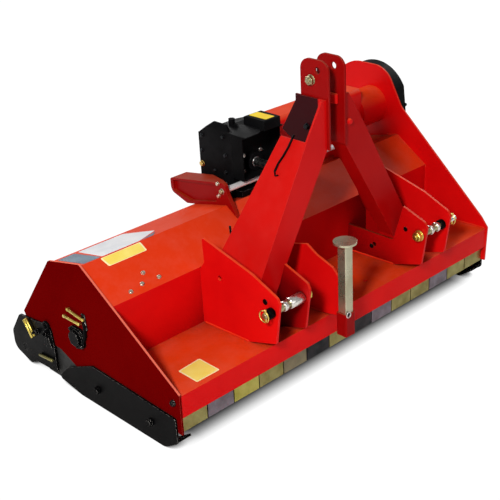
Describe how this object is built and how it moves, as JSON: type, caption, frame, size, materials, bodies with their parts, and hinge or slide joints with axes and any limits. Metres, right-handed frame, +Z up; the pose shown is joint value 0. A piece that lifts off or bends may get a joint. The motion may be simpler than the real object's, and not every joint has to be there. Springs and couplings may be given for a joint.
{
  "type": "side-drive flail mulcher for a tractor's three-point hitch",
  "caption": "Mulcher for a tractor: folded red hood with a hammer rotor, front guard flaps, skids, rear roller, three-point mast and a belt drive at one end.",
  "frame": {"origin": "on the ground under the middle of the machine's outline", "axes": "+X along the rotor towards the belt side, -Y towards the tractor, +Z up"},
  "size_m": [1.866, 1.152, 1.17],
  "materials": {
    "red_paint": "gloss",
    "black_paint": "satin",
    "black_plastic": "satin",
    "black_casting": "satin",
    "black_rubber": "matt",
    "zinc_steel": "zinc plated",
    "chrome_bar": "polished",
    "bare_steel": "oiled",
    "rotor_steel": "worn",
    "yellow_zinc": "yellow passivated zinc"
  },
  "bodies": {
    "housing": {"deck_shell": "red_paint", "end_plate_left": "red_paint", "end_plate_right": "red_paint", "belt_cover": "black_plastic", "skid_left": "black_paint", "skid_right": "black_paint", "roller_bracket_left": "black_paint", "roller_bracket_right": "black_paint", "rotor_bearing_left": "black_paint", "rotor_bearing_right": "black_paint", "flap_rod": "zinc_steel", "clevis_plate_a": "red_paint", "clevis_plate_b": "red_paint", "clevis_plate_c": "red_paint", "clevis_plate_d": "red_paint", "hitch_pin_left": "zinc_steel", "hitch_pin_right": "zinc_steel", "mast_leg_left": "red_paint", "mast_leg_right": "red_paint", "mast_ear_left": "red_paint", "mast_ear_right": "red_paint", "mast_bolt": "zinc_steel", "gearbox_saddle": "black_paint", "gearbox": "black_casting", "pto_guard": "black_plastic", "shaft_tunnel": "red_paint", "bearing_hub": "red_paint", "bar_bracket_left": "red_paint", "bar_bracket_right": "red_paint", "guide_bar": "chrome_bar", "stand_plate": "red_paint", "stand_socket": "red_paint", "rear_strip": "black_rubber", "counter_blade": "rotor_steel"},
    "rotor": {"flail_rotor": "rotor_steel"},
    "input_shaft": {"pto_stub": "bare_steel"},
    "roller": {"rear_roller": "black_paint"},
    "stand": {"parking_stand": "zinc_steel"},
    "flap_01": {"front_flap_01": "yellow_zinc"},
    "flap_02": {"front_flap_02": "yellow_zinc"},
    "flap_03": {"front_flap_03": "yellow_zinc"},
    "flap_04": {"front_flap_04": "yellow_zinc"},
    "flap_05": {"front_flap_05": "yellow_zinc"},
    "flap_06": {"front_flap_06": "yellow_zinc"},
    "flap_07": {"front_flap_07": "yellow_zinc"},
    "flap_08": {"front_flap_08": "yellow_zinc"},
    "flap_09": {"front_flap_09": "yellow_zinc"},
    "flap_10": {"front_flap_10": "yellow_zinc"},
    "flap_11": {"front_flap_11": "yellow_zinc"},
    "flap_12": {"front_flap_12": "yellow_zinc"},
    "flap_13": {"front_flap_13": "yellow_zinc"},
    "flap_14": {"front_flap_14": "yellow_zinc"}
  },
  "joints": [
    {"name": "rotor_spin", "type": "hinge", "parent": "housing", "child": "rotor", "pos_m": [-0.022, 0.106, 0.262], "axis": [1, 0, 0], "continuous": true},
    {"name": "input_spin", "type": "hinge", "parent": "housing", "child": "input_shaft", "pos_m": [-0.003, 0.046, 0.682], "axis": [0, 1, 0], "continuous": true},
    {"name": "roller_spin", "type": "hinge", "parent": "housing", "child": "roller", "pos_m": [-0.022, 0.494, 0.07], "axis": [1, 0, 0], "continuous": true},
    {"name": "stand_slide", "type": "slide", "parent": "housing", "child": "stand", "axis": [0, 0, 1], "range_m": [0, 0.15]},
    {"name": "flap_01_swing", "type": "hinge", "parent": "housing", "child": "flap_01", "pos_m": [-0.83636, -0.433, 0.17], "axis": [1, 0, 0], "range_deg": [0, 70]},
    {"name": "flap_02_swing", "type": "hinge", "parent": "housing", "child": "flap_02", "pos_m": [-0.71107, -0.433, 0.17], "axis": [1, 0, 0], "range_deg": [0, 70]},
    {"name": "flap_03_swing", "type": "hinge", "parent": "housing", "child": "flap_03", "pos_m": [-0.58579, -0.433, 0.17], "axis": [1, 0, 0], "range_deg": [0, 70]},
    {"name": "flap_04_swing", "type": "hinge", "parent": "housing", "child": "flap_04", "pos_m": [-0.4605, -0.433, 0.17], "axis": [1, 0, 0], "range_deg": [0, 70]},
    {"name": "flap_05_swing", "type": "hinge", "parent": "housing", "child": "flap_05", "pos_m": [-0.33521, -0.433, 0.17], "axis": [1, 0, 0], "range_deg": [0, 70]},
    {"name": "flap_06_swing", "type": "hinge", "parent": "housing", "child": "flap_06", "pos_m": [-0.20993, -0.433, 0.17], "axis": [1, 0, 0], "range_deg": [0, 70]},
    {"name": "flap_07_swing", "type": "hinge", "parent": "housing", "child": "flap_07", "pos_m": [-0.08464, -0.433, 0.17], "axis": [1, 0, 0], "range_deg": [0, 70]},
    {"name": "flap_08_swing", "type": "hinge", "parent": "housing", "child": "flap_08", "pos_m": [0.04064, -0.433, 0.17], "axis": [1, 0, 0], "range_deg": [0, 70]},
    {"name": "flap_09_swing", "type": "hinge", "parent": "housing", "child": "flap_09", "pos_m": [0.16593, -0.433, 0.17], "axis": [1, 0, 0], "range_deg": [0, 70]},
    {"name": "flap_10_swing", "type": "hinge", "parent": "housing", "child": "flap_10", "pos_m": [0.29121, -0.433, 0.17], "axis": [1, 0, 0], "range_deg": [0, 70]},
    {"name": "flap_11_swing", "type": "hinge", "parent": "housing", "child": "flap_11", "pos_m": [0.4165, -0.433, 0.17], "axis": [1, 0, 0], "range_deg": [0, 70]},
    {"name": "flap_12_swing", "type": "hinge", "parent": "housing", "child": "flap_12", "pos_m": [0.54179, -0.433, 0.17], "axis": [1, 0, 0], "range_deg": [0, 70]},
    {"name": "flap_13_swing", "type": "hinge", "parent": "housing", "child": "flap_13", "pos_m": [0.66707, -0.433, 0.17], "axis": [1, 0, 0], "range_deg": [0, 70]},
    {"name": "flap_14_swing", "type": "hinge", "parent": "housing", "child": "flap_14", "pos_m": [0.79236, -0.433, 0.17], "axis": [1, 0, 0], "range_deg": [0, 70]}
  ],
  "couplings": [
    {"joint": "input_spin", "follows": "rotor_spin", "ratio": -0.27}
  ]
}
